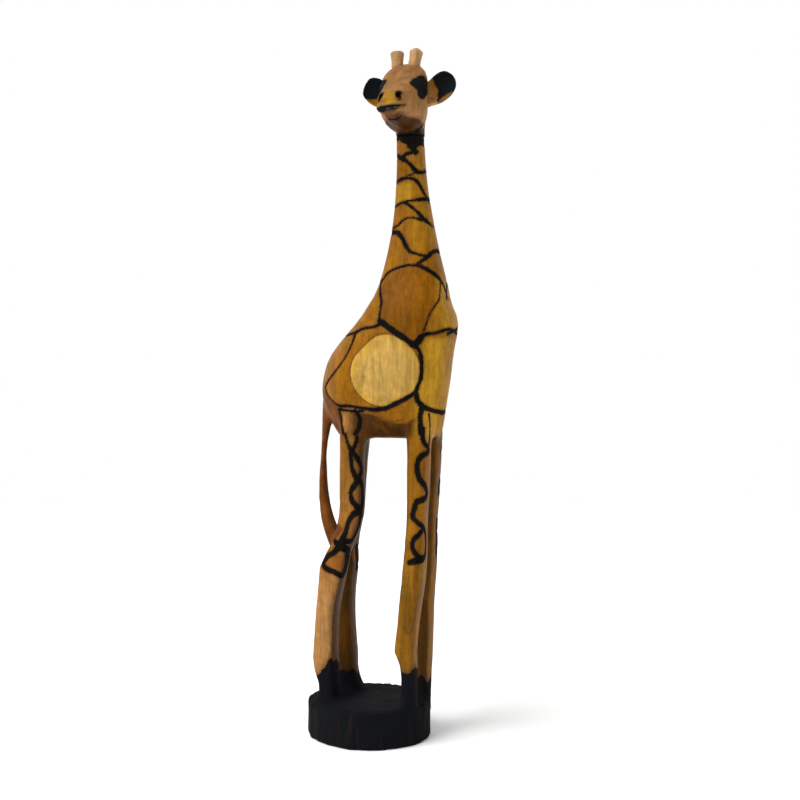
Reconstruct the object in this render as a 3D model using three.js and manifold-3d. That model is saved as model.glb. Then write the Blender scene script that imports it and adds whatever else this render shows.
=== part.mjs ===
// A carved giraffe statue. One log is cut into a base disc, four legs, a tail, a trunk and a neck.
// The head is carved on its own and set on the neck with a dowel, and looks over the giraffe's
// right side. Two leaf ears and two horns have whittled tenons, glued into bored sockets.
//
// Millimetres, +Z up, +X the way the giraffe walks, +Y its left. The origin is the middle of the
// base's flat underside.
import * as THREE from "three";
import { mergeVertices } from "three/addons/utils/BufferGeometryUtils.js";
import Module from "manifold-3d";

const wasm = await Module();
wasm.setup();

// ---- Driving dimensions ----------------------------------------------------------------------

const GLUE_GAP = 0.3; // left all round wherever two pieces are glued together

const BASE_RADIUS = 55.5;
const BASE_HEIGHT = 32;
const BASE_OVAL = 0.03; // how far the log is from round, as a share of its radius
const BASE_OVAL_ANGLE = THREE.MathUtils.degToRad(-35); // where the log is widest
const BASE_FACETS = 26; // flat adze cuts round the side
const BASE_TOP_BEVEL = 2.5;
const BASE_FOOT_BEVEL = 2;

const LEG_HEIGHT = 231; // from the base to the belly
const LEG_HALF = 10; // half the thickness of a leg
const LEG_SQUARE = 3.4; // exponent of the section: 2 is an oval, more is squarer
const FOOT_TRACK = 37; // between the middles of the left and right feet
const HIND_FOOT_X = -30.9;
const FRONT_FOOT_X = 45.2;
const FOOT_STAGGER = 2.8; // the left hind foot stands this much ahead of the right one
const HIP_TRACK = 40;
const LEG_ROOT = 36; // how far a leg runs up inside the trunk
const LEG_TUCK = 5; // how far its top leans in under the flank

const RUMP_X = -41.6;
const BODY_LENGTH = 122.4;
const BODY_WIDTH = 73;
const BODY_HEIGHT = 121; // from the belly to the root of the neck
const BODY_SQUARE = 2.7;

const NECK_LENGTH = 143;
const NECK_HALF = 12; // half the thickness of the neck at the collar
const NECK_SQUARE = 2.5;
const NECK_TAPER = 2.15; // how quickly the neck slims above its root
const NECK_BOW = 3.4; // how far the neck bows forward

const TAIL_HALF = 3; // half the thickness of the tail where it is slimmest
const TAIL_TIP_HEIGHT = 0.55; // share of the leg's height at which the tuft joins the right hock

const DOWEL_RADIUS = 4;
const DOWEL_DEPTH = 20; // into the neck, and as far into the head

const HEAD_TURN = THREE.MathUtils.degToRad(-90); // to the giraffe's right
const HEAD_LENGTH = 69; // from the back of the skull to the end of the muzzle
const HEAD_BACK = 18; // from the middle of the neck to the back of the skull
const HEAD_WIDTH = 43;
const HEAD_HEIGHT = 62.5; // from the collar to the crown
const HEAD_SQUARE = 2.7;
const HEAD_FLARE = 0.07; // how much wider than the jaw the brow is, as a share of the half width

// Places on the face are measured forward from the middle of the neck and up from the collar.
const EYE_FORWARD = 17.2;
const EYE_UP = 40;
const EYE_RADIUS = 4.8;
const EYE_SINK = 3; // how deep in the head the middle of the eyeball lies
const EYE_SOCKET_LENGTH = 15;
const EYE_SOCKET_HEIGHT = 18;
const EYE_SOCKET_DEPTH = 3;
const NOSTRIL_SETBACK = 4.5; // behind the end of the muzzle
const NOSTRIL_UP = 23;
const NOSTRIL_SPREAD = 15.2; // between the middles of the two nostrils
const NOSTRIL_WIDTH = 5.2;
const NOSTRIL_HEIGHT = 9.2;
const MOUTH_FORWARD = 34; // the middle of the slit
const MOUTH_UP = 18;
const MOUTH_LENGTH = 44;
const MOUTH_WIDTH = 31;
const MOUTH_SLIT = 2.2;
const MOUTH_RISE = THREE.MathUtils.degToRad(14); // from the lips back to the corners of the mouth
const CREASE_FORWARD = 36; // the crease under the lower lip
const CREASE_UP = 9;
const CREASE_LENGTH = 32;
const CREASE_WIDTH = 18;
const CREASE_SLIT = 2;
const CREASE_RISE = THREE.MathUtils.degToRad(10);

const EAR_FORWARD = 2;
const EAR_UP = 32.5;
const EAR_LENGTH = 30; // outside the head
const EAR_WIDTH = 23;
const EAR_ROOT_WIDTH = 15;
const EAR_WALL = 2.6;
const LEFT_EAR_LIFT = THREE.MathUtils.degToRad(27);
const RIGHT_EAR_LIFT = THREE.MathUtils.degToRad(31);
const EAR_SWEEP = THREE.MathUtils.degToRad(9); // forward
const EAR_TENON_RADIUS = 3;
const EAR_TENON_LENGTH = 9;

const HORN_RADIUS = 5.6;
const HORN_LENGTH = 13.5;
const HORN_FORWARD = 11;
const HORN_SPREAD = 15.6; // between the middles of the two horns at the crown
const LEFT_HORN_LEAN = THREE.MathUtils.degToRad(11); // outward
const RIGHT_HORN_LEAN = THREE.MathUtils.degToRad(1);
const HORN_TENON_RADIUS = 3;
const HORN_TENON_LENGTH = 9;

// ---- Derived places --------------------------------------------------------------------------

const bellyZ = BASE_HEIGHT + LEG_HEIGHT;
const neckRootZ = bellyZ + BODY_HEIGHT;
const collarZ = neckRootZ + NECK_LENGTH;

// ---- Solids ----------------------------------------------------------------------------------

function toSolid(geometry) {
  const bare = geometry.clone();
  bare.deleteAttribute("normal");
  bare.deleteAttribute("uv");
  const merged = mergeVertices(bare, 1e-4);
  return new wasm.Manifold(
    new wasm.Mesh({
      numProp: 3,
      vertProperties: merged.attributes.position.array,
      triVerts: new Uint32Array(merged.index.array),
    }),
  );
}

function toGeometry(solid) {
  const mesh = solid.getMesh();
  const positions = new Float32Array(mesh.numVert * 3);
  for (let i = 0; i < mesh.numVert; i++) {
    const start = i * mesh.numProp;
    positions.set(mesh.vertProperties.subarray(start, start + 3), i * 3);
  }
  const geometry = new THREE.BufferGeometry();
  geometry.setAttribute("position", new THREE.BufferAttribute(positions, 3));
  geometry.setIndex(new THREE.BufferAttribute(mesh.triVerts, 1));
  geometry.computeVertexNormals();
  return geometry;
}

const moved = (solid, matrix) => solid.transform(matrix.elements);
const joined = (solids) => solids.reduce((whole, solid) => whole.add(solid));
const cutAll = (solid, cutters) => cutters.reduce((left, cutter) => left.subtract(cutter), solid);

// A pillar whose level sections follow sectionAt(share), with share running from 0 at the bottom to
// 1 at the top. A section is { x, y, z, halfX, halfY, square }, a rounded rectangle. flare widens it
// towards +Y, and grow makes it that much thicker all round.
function loft(sectionAt, sides, rows, { grow = 0, flare = 0 } = {}) {
  const geometry = new THREE.CylinderGeometry(1, 1, 1, sides, rows);
  const position = geometry.attributes.position;
  for (let i = 0; i < position.count; i++) {
    const section = sectionAt(position.getY(i) + 0.5);
    const across = position.getX(i);
    const along = position.getZ(i);
    const bend = 2 / section.square;
    const y = Math.sign(across) * Math.abs(across) ** bend;
    const x = Math.sign(along) * Math.abs(along) ** bend * (1 + flare * y);
    const outX = section.x + x * (section.halfX + grow);
    const outY = section.y + y * (section.halfY + grow);
    position.setXYZ(i, outX, outY, section.z);
  }
  return geometry;
}

// A smooth curve through rows of numbers, the first of which is where along the curve the row is.
function curveThrough(rows) {
  const places = rows.map((row) => row[0]);
  const width = rows[0].length - 1;
  const values = rows.flatMap((row) => row.slice(1));
  const curve = new THREE.CubicInterpolant(places, values, width);
  return (place) => Array.from(curve.evaluate(place));
}

function ball(x, y, z, radiusX, radiusY, radiusZ) {
  const sphere = new THREE.SphereGeometry(1, 14, 10);
  return toSolid(sphere.scale(radiusX, radiusY, radiusZ).translate(x, y, z));
}

// A round bar along +Z from bottom to top.
function bar(radius, bottom, top, sides = 16) {
  const cylinder = new THREE.CylinderGeometry(radius, radius, top - bottom, sides);
  return toSolid(cylinder.rotateX(Math.PI / 2).translate(0, 0, (top + bottom) / 2));
}

// ---- The carved log --------------------------------------------------------------------------

function baseDisc() {
  const rows = [
    [0, BASE_FOOT_BEVEL],
    [BASE_FOOT_BEVEL, 0],
    [BASE_HEIGHT - BASE_TOP_BEVEL, 0],
    [BASE_HEIGHT, BASE_TOP_BEVEL],
  ];
  const sectionAt = (share) => {
    const [z, bevel] = rows[Math.round(share * (rows.length - 1))];
    const half = BASE_RADIUS - bevel;
    return { x: 0, y: 0, z, halfX: half, halfY: half, square: 2 };
  };
  const geometry = loft(sectionAt, BASE_FACETS, rows.length - 1);
  const position = geometry.attributes.position;
  for (let i = 0; i < position.count; i++) {
    const x = position.getX(i);
    const y = position.getY(i);
    const oval = 1 + BASE_OVAL * Math.cos(2 * (Math.atan2(y, x) - BASE_OVAL_ANGLE));
    position.setXYZ(i, x * oval, y * oval, position.getZ(i));
  }
  return toSolid(geometry);
}

// Share of the body's height, the back and the chest as shares of its length, and the share of its
// width.
const trunkRows = curveThrough([
  [0, 0.12, 0.88, 0.5],
  [0.06, 0.09, 0.895, 0.67],
  [0.14, 0.055, 0.905, 0.82],
  [0.24, 0.012, 0.915, 0.93],
  [0.35, 0, 0.93, 0.985],
  [0.47, 0.02, 0.947, 1],
  [0.59, 0.065, 0.96, 0.985],
  [0.7, 0.15, 0.98, 0.955],
  [0.81, 0.25, 1, 0.905],
  [0.9, 0.325, 0.985, 0.85],
  [1, 0.385, 0.935, 0.78],
]);

function trunkSection(height) {
  const [back, chest, width] = trunkRows(height);
  return {
    x: RUMP_X + (BODY_LENGTH * (back + chest)) / 2,
    y: 0,
    z: bellyZ + BODY_HEIGHT * height,
    halfX: (BODY_LENGTH * (chest - back)) / 2,
    halfY: (BODY_WIDTH / 2) * width,
    square: BODY_SQUARE,
  };
}

const neckRoot = trunkSection(1);
const neckX = neckRoot.x;

function neckSection(height) {
  const swell = (1 - height) ** NECK_TAPER;
  return {
    x: neckX + NECK_BOW * Math.sin(Math.PI * Math.sqrt(height)),
    y: 0,
    z: neckRootZ + NECK_LENGTH * height,
    halfX: NECK_HALF + (neckRoot.halfX - NECK_HALF) * swell,
    halfY: NECK_HALF + (neckRoot.halfY - NECK_HALF) * swell,
    square: NECK_SQUARE + (BODY_SQUARE - NECK_SQUARE) * swell,
  };
}

function trunkAndNeck() {
  const whole = BODY_HEIGHT + NECK_LENGTH;
  const sectionAt = (share) => {
    const climbed = share * whole;
    return climbed <= BODY_HEIGHT
      ? trunkSection(climbed / BODY_HEIGHT)
      : neckSection((climbed - BODY_HEIGHT) / NECK_LENGTH);
  };
  return toSolid(loft(sectionAt, 28, 32));
}

// Share of the leg's height, how far it has leant from the foot towards the hip, and the shares of
// its half thickness lengthwise and across.
const hindLegRows = curveThrough([
  [-0.04, 0.03, 0.98, 0.95],
  [0, 0.03, 0.93, 0.93],
  [0.03, 0.02, 0.87, 0.9],
  [0.085, 0, 0.88, 0.92],
  [0.115, -0.1, 1, 1.02],
  [0.135, -0.12, 1.04, 1.06],
  [0.24, -0.09, 0.96, 1.06],
  [0.36, 0, 0.96, 1.06],
  [0.45, 0.14, 1.1, 1.1],
  [0.51, 0.23, 1.17, 1.1],
  [0.545, 0.33, 1.06, 1.06],
  [0.58, 0.5, 0.91, 1.02],
  [0.61, 0.64, 0.91, 1],
  [0.67, 0.85, 1.01, 1],
  [0.73, 0.96, 1.05, 1.02],
  [0.8, 0.97, 1.02, 1.06],
  [0.92, 0.96, 1, 1.12],
  [1, 1, 1.15, 1.2],
  [1.08, 1, 1.25, 1.15],
  [1.17, 1, 1, 0.8],
]);

const frontLegRows = curveThrough([
  [-0.04, 0, 0.74, 0.95],
  [0, 0, 0.7, 0.93],
  [0.03, 0, 0.64, 0.9],
  [0.155, 0, 0.66, 0.92],
  [0.175, -0.12, 0.74, 0.96],
  [0.19, -0.24, 0.84, 1],
  [0.24, -0.2, 0.86, 1.02],
  [0.29, -0.06, 0.84, 1.02],
  [0.36, 0.12, 0.86, 1.04],
  [0.44, 0.4, 0.9, 1.06],
  [0.53, 0.62, 0.94, 1.08],
  [0.6, 0.74, 0.88, 1.04],
  [0.68, 0.8, 0.82, 1.02],
  [0.77, 0.9, 0.84, 1.04],
  [0.91, 1, 0.92, 1.1],
  [1, 1, 1.04, 1.18],
  [1.08, 0.97, 1.1, 1.1],
  [1.17, 0.9, 0.8, 0.7],
]);

// side is 1 for the giraffe's left and -1 for its right. The hip is at hipShare of the body's
// length. A leg with a higher lag stays upright for longer before it leans to its hip, and bow is
// how far its middle bends back.
function leg(rows, side, { footX, hipShare, lag, bow, stout }) {
  const hipX = RUMP_X + BODY_LENGTH * hipShare;
  const bottom = -0.04;
  const top = 1 + LEG_ROOT / LEG_HEIGHT;
  const sectionAt = (share) => {
    const height = THREE.MathUtils.lerp(bottom, top, share);
    const [lean, halfX, halfY] = rows(height);
    const spread = THREE.MathUtils.lerp(FOOT_TRACK, HIP_TRACK, Math.min(height * 2, 1)) / 2;
    const tuck = LEG_TUCK * Math.max((height - 1) / (top - 1), 0);
    const bend = bow * Math.sin(Math.PI * THREE.MathUtils.clamp(height, 0, 1));
    return {
      x: THREE.MathUtils.lerp(footX, hipX, lean > 0 ? lean ** lag : lean) - bend,
      y: side * (spread - tuck),
      z: BASE_HEIGHT + LEG_HEIGHT * height,
      halfX: LEG_HALF * halfX * stout,
      halfY: LEG_HALF * halfY * stout,
      square: LEG_SQUARE,
    };
  };
  return toSolid(loft(sectionAt, 14, 24));
}

const hindRight = { footX: HIND_FOOT_X, hipShare: 0.285, lag: 1, bow: 0, stout: 1 };
const hindLeft = {
  footX: HIND_FOOT_X + FOOT_STAGGER,
  hipShare: 0.174,
  lag: 1,
  bow: 6.5,
  stout: 1,
};
const frontRight = { footX: FRONT_FOOT_X, hipShare: 0.79, lag: 1, bow: 0, stout: 1 };
const frontLeft = { footX: FRONT_FOOT_X, hipShare: 0.755, lag: 2.2, bow: 1, stout: 1 };

// The legs reach no further out over the base than the log it was cut from.
function blank() {
  const rim = BASE_RADIUS - 0.5;
  const outline = [
    [0, -1],
    [BASE_RADIUS * 1.1, -1],
    [BASE_RADIUS * 1.1, BASE_HEIGHT - BASE_TOP_BEVEL - 1],
    [rim, BASE_HEIGHT - BASE_TOP_BEVEL],
    [rim + 0.5, BASE_HEIGHT + LEG_HEIGHT * 0.1],
    [rim * 1.25, bellyZ - LEG_HEIGHT * 0.3],
    [rim * 2, bellyZ],
    [rim * 2, collarZ + 1],
    [0, collarZ + 1],
  ];
  const profile = outline.map(([radius, height]) => new THREE.Vector2(radius, height));
  return toSolid(new THREE.LatheGeometry(profile, 48).rotateX(Math.PI / 2));
}

// Share of the way down from the rump to the hock, the share of the way from the rump line to the
// hock, the same share across to the right leg, and the half thickness as a share of TAIL_HALF.
const tailRows = curveThrough([
  [0, 0.2, 0, 1.3],
  [0.08, 0.05, 0.05, 1.6],
  [0.16, 0, 0.1, 1.75],
  [0.26, 0, 0.16, 1.5],
  [0.36, -0.03, 0.24, 1.15],
  [0.48, -0.02, 0.34, 1],
  [0.6, 0, 0.45, 1.15],
  [0.7, 0.08, 0.56, 1.5],
  [0.8, 0.24, 0.7, 2.05],
  [0.88, 0.52, 0.82, 2.3],
  [0.95, 0.8, 0.92, 2.2],
  [1, 0.95, 1, 1.8],
]);

function tail() {
  const topZ = bellyZ + BODY_HEIGHT * 0.4;
  const tipZ = BASE_HEIGHT + LEG_HEIGHT * TAIL_TIP_HEIGHT;
  const hockX = THREE.MathUtils.lerp(HIND_FOOT_X, RUMP_X + BODY_LENGTH * 0.29, 0.3);
  const rootY = -3;
  const sectionAt = (share) => {
    const [forward, across, thick] = tailRows(1 - share);
    return {
      x: THREE.MathUtils.lerp(RUMP_X, hockX, forward) + TAIL_HALF * (thick * 0.8 - 0.6),
      y: THREE.MathUtils.lerp(rootY, -HIP_TRACK / 2 + 2, across),
      z: THREE.MathUtils.lerp(tipZ, topZ, share),
      halfX: TAIL_HALF * thick,
      halfY: TAIL_HALF * (thick * 0.5 + 1.1),
      square: 2.4,
    };
  };
  return toSolid(loft(sectionAt, 10, 20));
}

function dowelHole(bottom, top) {
  return bar(DOWEL_RADIUS + GLUE_GAP, bottom, top);
}

function carvedLog() {
  const whole = joined([
    baseDisc(),
    leg(hindLegRows, -1, hindRight),
    leg(hindLegRows, 1, hindLeft),
    leg(frontLegRows, -1, frontRight),
    leg(frontLegRows, 1, frontLeft),
    tail(),
    trunkAndNeck(),
  ]);
  const hole = dowelHole(collarZ - DOWEL_DEPTH - GLUE_GAP, collarZ + 1);
  return whole.intersect(blank()).subtract(hole.translate(neckX, 0, 0));
}

// ---- The head, in a frame of its own ---------------------------------------------------------
// +X runs out along the muzzle, +Y to the head's left and +Z up, from the middle of the collar.

// Share of the head's length, the underside and the top as shares of its height, and the share of
// its width.
const headRows = curveThrough([
  [0, 0.48, 0.72, 0.26],
  [0.05, 0.33, 0.85, 0.48],
  [0.14, 0.14, 0.945, 0.64],
  [0.26, 0.01, 1, 0.78],
  [0.38, 0.01, 0.995, 0.93],
  [0.48, 0.03, 0.955, 1],
  [0.57, 0.045, 0.865, 0.96],
  [0.67, 0.06, 0.735, 0.81],
  [0.77, 0.07, 0.62, 0.68],
  [0.87, 0.095, 0.53, 0.61],
  [0.95, 0.14, 0.46, 0.53],
  [1, 0.22, 0.37, 0.32],
]);

function headShell(grow) {
  const sectionAt = (share) => {
    const [under, top, width] = headRows(share);
    return {
      x: 0,
      y: (HEAD_HEIGHT * (under + top)) / 2,
      z: HEAD_LENGTH * share - HEAD_BACK,
      halfX: (HEAD_WIDTH / 2) * width,
      halfY: (HEAD_HEIGHT * (top - under)) / 2,
      square: HEAD_SQUARE,
    };
  };
  const skull = loft(sectionAt, 24, 20, { grow, flare: HEAD_FLARE });
  // The loft runs up its own Z, which becomes the way the muzzle points.
  const stand = new THREE.Matrix4().makeBasis(
    new THREE.Vector3(0, 1, 0),
    new THREE.Vector3(0, 0, 1),
    new THREE.Vector3(1, 0, 0),
  );
  return toSolid(skull.applyMatrix4(stand));
}

// The stub of neck under the skull, with the section that the neck has at the collar.
function throat(grow) {
  const height = HEAD_HEIGHT * 0.3;
  const sectionAt = (share) => ({
    x: 0,
    y: 0,
    z: GLUE_GAP + height * share,
    halfX: NECK_HALF,
    halfY: NECK_HALF * (1 + 0.12 * share),
    square: NECK_SQUARE,
  });
  return toSolid(loft(sectionAt, 20, 2, { grow }));
}

const headBlank = (grow) => headShell(grow).add(throat(grow));

// Where a level line at this height and this far along the head leaves its side.
function headSide(alongHead, height) {
  const share = (alongHead + HEAD_BACK) / HEAD_LENGTH;
  const [under, top, width] = headRows(share);
  const middle = (HEAD_HEIGHT * (under + top)) / 2;
  const half = (HEAD_HEIGHT * (top - under)) / 2;
  const level = Math.min(Math.abs(height - middle) / half, 0.99);
  return (HEAD_WIDTH / 2) * width * (1 - level ** HEAD_SQUARE) ** (1 / HEAD_SQUARE);
}

const crownZ = (alongHead) => {
  const [, top] = headRows((alongHead + HEAD_BACK) / HEAD_LENGTH);
  return HEAD_HEIGHT * top;
};

// The ear's own frame has +Y out along the ear and +X the way its hollow faces.
function earPlace(side) {
  const place = new THREE.Object3D();
  const lift = side === 1 ? LEFT_EAR_LIFT : RIGHT_EAR_LIFT;
  place.position.set(EAR_FORWARD, side * (headSide(EAR_FORWARD, EAR_UP) - 1.5), EAR_UP);
  place.rotation.set(side * lift, 0, -side * EAR_SWEEP, "ZXY");
  place.updateMatrix();
  return place;
}

// The horn's own frame has +Z out along the horn.
function hornPlace(side) {
  const place = new THREE.Object3D();
  const lean = side === 1 ? LEFT_HORN_LEAN : RIGHT_HORN_LEAN;
  place.position.set(HORN_FORWARD, (side * HORN_SPREAD) / 2, crownZ(HORN_FORWARD) - 2.5);
  place.rotation.set(-side * lean, 0, 0);
  place.updateMatrix();
  return place;
}

const turnOut = (side) => new THREE.Matrix4().makeRotationX((-side * Math.PI) / 2);

function socket(place, side, radius, length) {
  const hole = bar(radius + GLUE_GAP, -length - GLUE_GAP, 6);
  return moved(side ? moved(hole, turnOut(side)) : hole, place.matrix);
}

// A raised eyeball in a scooped socket.
function eye(side) {
  const out = headSide(EYE_FORWARD, EYE_UP);
  const halfLength = EYE_SOCKET_LENGTH / 2;
  const halfHeight = EYE_SOCKET_HEIGHT / 2;
  const scoopY = side * (out + 1.5);
  const reach = EYE_SOCKET_DEPTH + 1.5;
  const scoop = ball(EYE_FORWARD, scoopY, EYE_UP, halfLength, reach, halfHeight);
  const r = EYE_RADIUS;
  const ballY = side * (out - EYE_SINK);
  const eyeball = ball(EYE_FORWARD - 0.5, ballY, EYE_UP + 0.5, r, r * 0.95, r * 1.17);
  return { scoop, eyeball };
}

function nostril(side) {
  const x = HEAD_LENGTH - HEAD_BACK - NOSTRIL_SETBACK;
  const y = (side * NOSTRIL_SPREAD) / 2;
  const hollow = ball(0, 0, 0, 3.4, NOSTRIL_WIDTH / 2, NOSTRIL_HEIGHT / 2);
  return hollow.rotate([side * 12, 0, 0]).translate(x, y, NOSTRIL_UP);
}

// A flat lens that cuts a slit round the front of the muzzle. The slit rises towards its ends.
function slit({ forward, up, length, width, opening, rise }) {
  const lens = ball(0, 0, 0, length / 2, width / 2, opening / 2);
  return lens.rotate([0, THREE.MathUtils.radToDeg(rise), 0]).translate(forward, 0, up);
}

const mouthSlit = () =>
  slit({
    forward: MOUTH_FORWARD,
    up: MOUTH_UP,
    length: MOUTH_LENGTH,
    width: MOUTH_WIDTH,
    opening: MOUTH_SLIT,
    rise: MOUTH_RISE,
  });

const lipCrease = () =>
  slit({
    forward: CREASE_FORWARD,
    up: CREASE_UP,
    length: CREASE_LENGTH,
    width: CREASE_WIDTH,
    opening: CREASE_SLIT,
    rise: CREASE_RISE,
  });

function carvedHead() {
  const eyes = [eye(1), eye(-1)];
  const cut = cutAll(headBlank(0), [...eyes.map((one) => one.scoop), nostril(1), nostril(-1)]);
  const faced = cutAll(joined([cut, ...eyes.map((one) => one.eyeball)]), [mouthSlit(), lipCrease()]);
  const seam = bar(HEAD_LENGTH, -HEAD_LENGTH, GLUE_GAP);
  return cutAll(faced, [
    seam,
    dowelHole(-1, DOWEL_DEPTH + 2 * GLUE_GAP),
    socket(earPlace(1), 1, EAR_TENON_RADIUS, EAR_TENON_LENGTH),
    socket(earPlace(-1), -1, EAR_TENON_RADIUS, EAR_TENON_LENGTH),
    socket(hornPlace(1), 0, HORN_TENON_RADIUS, HORN_TENON_LENGTH),
    socket(hornPlace(-1), 0, HORN_TENON_RADIUS, HORN_TENON_LENGTH),
  ]);
}

// ---- Ears and horns --------------------------------------------------------------------------

function earOutline(side) {
  const root = EAR_ROOT_WIDTH / 2;
  const half = EAR_WIDTH / 2;
  const shape = new THREE.Shape();
  shape.moveTo(-6, -root);
  shape.lineTo(0, -root);
  shape.bezierCurveTo(
    EAR_LENGTH * 0.3, -half, EAR_LENGTH * 0.6, -half * 1.05, EAR_LENGTH * 0.8, -half * 0.8,
  );
  shape.bezierCurveTo(
    EAR_LENGTH * 1.05, -half * 0.5, EAR_LENGTH * 1.06, half * 0.5, EAR_LENGTH * 0.86, half * 0.85,
  );
  shape.bezierCurveTo(EAR_LENGTH * 0.64, half * 1.2, EAR_LENGTH * 0.32, half * 0.95, 0, root);
  shape.lineTo(-6, root);
  shape.closePath();
  const points = shape.getPoints(7);
  return new THREE.Shape(points.map((p) => new THREE.Vector2(side * p.x, p.y)));
}

function ear(side) {
  const depth = 12;
  const slab = new THREE.ExtrudeGeometry(earOutline(side), { depth, bevelEnabled: false, steps: 1 });
  // The outline's own x and y become the ear's +Y and +Z, and its thickness the ear's +X.
  const stand = new THREE.Matrix4().makeBasis(
    new THREE.Vector3(0, 1, 0),
    new THREE.Vector3(0, 0, 1),
    new THREE.Vector3(1, 0, 0),
  );
  const leaf = toSolid(slab.translate(0, 0, -depth / 2).applyMatrix4(stand));
  const middle = side * EAR_LENGTH * 0.42;
  const back = ball(0.5, middle, 0, 6.5, EAR_LENGTH * 0.72, EAR_WIDTH * 0.62);
  const front = ball(0.5 + EAR_WALL, middle + side * 4, 0, 6, EAR_LENGTH * 0.5, EAR_WIDTH * 0.43);
  const rim = bar(EAR_LENGTH * 2, -10, 0).rotate([0, 90, 0]).translate(13, 0, 0);
  const cupped = cutAll(leaf.intersect(back), [front, rim]);
  const place = earPlace(side);
  const head = moved(headBlank(GLUE_GAP), place.matrix.clone().invert());
  const tenon = moved(bar(EAR_TENON_RADIUS, -EAR_TENON_LENGTH, 4), turnOut(side));
  return { place, solid: cupped.subtract(head).add(tenon) };
}

// The left horn has a domed tip and the right one is sawn off flat.
function horn(side) {
  const r = HORN_RADIUS;
  const sawnEnd = [
    [r * 0.9, HORN_LENGTH],
    [0, HORN_LENGTH],
  ];
  const domedEnd = [
    [r * 0.75, HORN_LENGTH],
    [r * 0.4, HORN_LENGTH + 1.3],
    [0, HORN_LENGTH + 1.6],
  ];
  const outline = [
    [0, -3],
    [r * 0.98, -3],
    [r * 0.92, HORN_LENGTH * 0.35],
    [r * 0.97, HORN_LENGTH * 0.6],
    [r * 1.06, HORN_LENGTH * 0.82],
    [r * 1.03, HORN_LENGTH - 1],
    ...(side === 1 ? domedEnd : sawnEnd),
  ];
  const profile = outline.map(([radius, height]) => new THREE.Vector2(radius, height));
  const peg = toSolid(new THREE.LatheGeometry(profile, 16).rotateX(Math.PI / 2));
  const place = hornPlace(side);
  const head = moved(headBlank(GLUE_GAP), place.matrix.clone().invert());
  const tenon = bar(HORN_TENON_RADIUS, -HORN_TENON_LENGTH, 3);
  return { place, solid: peg.subtract(head).add(tenon) };
}

function neckDowel() {
  const half = DOWEL_DEPTH + GLUE_GAP / 2;
  return bar(DOWEL_RADIUS, -half, half).translate(0, 0, GLUE_GAP / 2);
}

// ---- Assembly --------------------------------------------------------------------------------

const wood = (color, roughness) => new THREE.MeshStandardMaterial({ color, roughness, metalness: 0 });
const varnishedWood = wood(0xb07a32, 0.45);
const paleWood = wood(0xbd8c55, 0.5);
const pegWood = wood(0xcaa678, 0.7);

function mesh(name, solid, material, place) {
  const made = new THREE.Mesh(toGeometry(solid), material);
  made.name = name;
  if (place) {
    made.position.copy(place.position);
    made.rotation.copy(place.rotation);
  }
  return made;
}

const head = new THREE.Group();
head.position.set(neckX, 0, collarZ);
head.rotation.z = HEAD_TURN;
head.add(mesh("head", carvedHead(), paleWood));
head.add(mesh("neck_dowel", neckDowel(), pegWood));
for (const [side, name] of [
  [1, "left"],
  [-1, "right"],
]) {
  const leaf = ear(side);
  head.add(mesh(`ear_${name}`, leaf.solid, paleWood, leaf.place));
  const peg = horn(side);
  head.add(mesh(`horn_${name}`, peg.solid, paleWood, peg.place));
}

const giraffe = new THREE.Group();
giraffe.add(mesh("carved_log", carvedLog(), varnishedWood));
giraffe.add(head);

export default giraffe;
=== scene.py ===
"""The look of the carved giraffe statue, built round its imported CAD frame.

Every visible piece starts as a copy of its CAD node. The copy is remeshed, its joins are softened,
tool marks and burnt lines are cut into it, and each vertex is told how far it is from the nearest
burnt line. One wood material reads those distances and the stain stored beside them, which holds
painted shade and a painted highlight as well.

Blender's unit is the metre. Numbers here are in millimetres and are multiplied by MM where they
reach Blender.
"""

import math

import bpy
import numpy as np
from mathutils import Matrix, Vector, noise
from mathutils.bvhtree import BVHTree
from mathutils.kdtree import KDTree


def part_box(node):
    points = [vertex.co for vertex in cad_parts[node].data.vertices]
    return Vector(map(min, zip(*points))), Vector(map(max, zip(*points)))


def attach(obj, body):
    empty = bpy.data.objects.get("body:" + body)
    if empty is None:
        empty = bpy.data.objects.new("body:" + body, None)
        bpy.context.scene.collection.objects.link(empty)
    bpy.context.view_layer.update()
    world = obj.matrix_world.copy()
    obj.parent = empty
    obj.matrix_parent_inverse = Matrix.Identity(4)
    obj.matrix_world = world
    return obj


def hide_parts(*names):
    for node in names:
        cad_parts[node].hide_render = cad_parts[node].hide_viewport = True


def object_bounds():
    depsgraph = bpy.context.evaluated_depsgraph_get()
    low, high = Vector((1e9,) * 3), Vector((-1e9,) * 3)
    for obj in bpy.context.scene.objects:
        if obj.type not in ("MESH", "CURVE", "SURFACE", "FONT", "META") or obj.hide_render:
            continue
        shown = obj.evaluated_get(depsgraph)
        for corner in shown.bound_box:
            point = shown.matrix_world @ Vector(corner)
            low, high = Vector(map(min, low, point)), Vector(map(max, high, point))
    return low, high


MM = 0.001

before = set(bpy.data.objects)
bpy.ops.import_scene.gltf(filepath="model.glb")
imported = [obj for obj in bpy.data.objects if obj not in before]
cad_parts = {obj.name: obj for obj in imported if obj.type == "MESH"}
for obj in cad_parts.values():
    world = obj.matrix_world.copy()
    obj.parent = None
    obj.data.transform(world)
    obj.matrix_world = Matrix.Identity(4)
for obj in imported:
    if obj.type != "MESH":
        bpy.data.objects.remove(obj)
cad_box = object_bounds()
scene = bpy.context.scene

# ---- Sizes -----------------------------------------------------------------------------------

# How fine the surface is. The log stays under 200,000 triangles.
LOG_VOXEL = 1.41
HEAD_VOXEL = 0.7
SMALL_VOXEL = 0.5

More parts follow.
